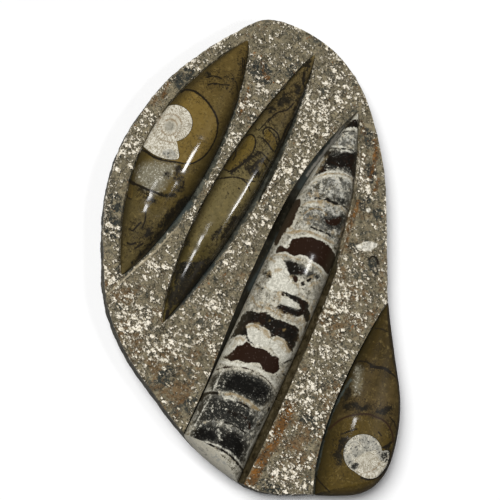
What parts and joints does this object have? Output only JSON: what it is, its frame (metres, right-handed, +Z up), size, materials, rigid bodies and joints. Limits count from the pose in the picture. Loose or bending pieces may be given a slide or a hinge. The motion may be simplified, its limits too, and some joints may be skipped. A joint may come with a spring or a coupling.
{
  "type": "orthoceras fossil plate",
  "caption": "Flat-backed slab of dark limestone with a long banded orthoceras, brown spindle-shaped fossils and coiled goniatites polished in relief; it lies flat on a table or shelf.",
  "frame": {"origin": "middle of the bounding box's base, on the slab's sawn back", "axes": "+Z up out of the back towards the fossils, +Y along the slab towards the orthoceras's tip, +X to the right seen from above"},
  "size_m": [0.1914, 0.305, 0.033],
  "materials": {
    "matrix": "chipped grey-brown limestone with white pecks",
    "brown_limestone": "polished olive-brown limestone with dark veins",
    "banded_shell": "polished white and grey calcite with dark brown and black chambers",
    "cream_calcite": "polished cream calcite with fine brown lines"
  },
  "bodies": {
    "root": {"matrix_slab": "matrix", "orthoceras": "banded_shell", "spindle_left": "brown_limestone", "spindle_middle": "brown_limestone", "spindle_right": "brown_limestone", "goniatite_left": "cream_calcite", "goniatite_right": "cream_calcite"}
  },
  "joints": []
}
